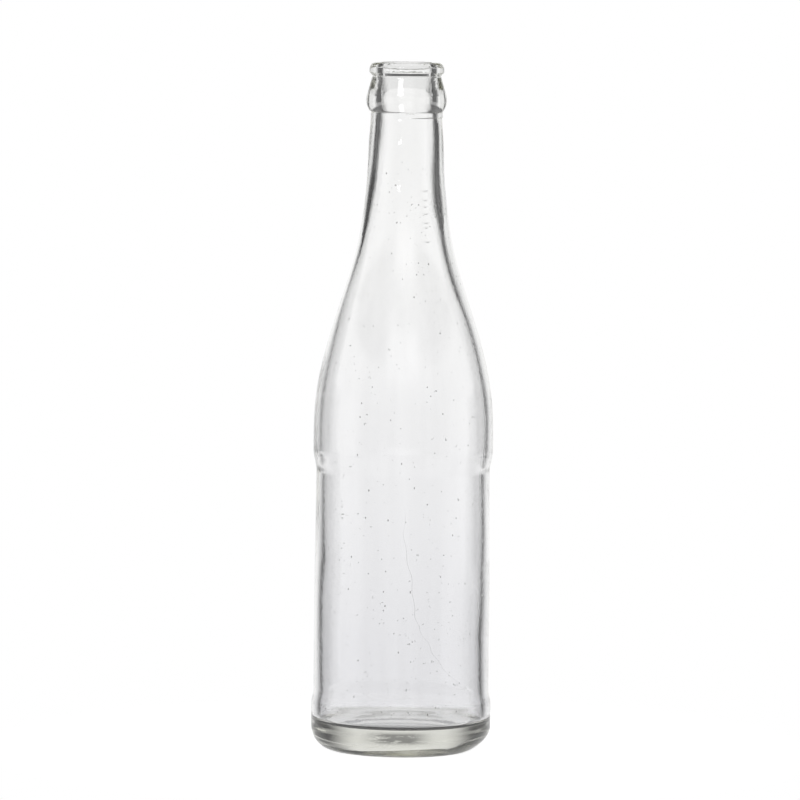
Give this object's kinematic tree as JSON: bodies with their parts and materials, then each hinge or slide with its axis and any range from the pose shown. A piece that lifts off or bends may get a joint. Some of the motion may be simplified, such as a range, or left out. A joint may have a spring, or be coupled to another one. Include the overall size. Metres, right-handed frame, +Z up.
{
  "type": "glass soda bottle",
  "caption": "Long-neck clear glass soda bottle with an open crown finish, sweeping shoulder, raised shoulder ring, recessed label panel, heel band and thick base.",
  "frame": {"origin": "centre of the bearing ring that the bottle stands on", "axes": "+Z up along the bottle's axis of symmetry, out of the mouth; +X and +Y are free, since the bottle is round"},
  "size_m": [0.064, 0.064, 0.245],
  "materials": {
    "glass": "clear flint glass, fire-polished outside, slightly wavy inside"
  },
  "bodies": {
    "root": {"crown_finish": "glass", "neck": "glass", "shoulder": "glass", "label_panel": "glass", "heel": "glass", "base": "glass"}
  },
  "joints": []
}
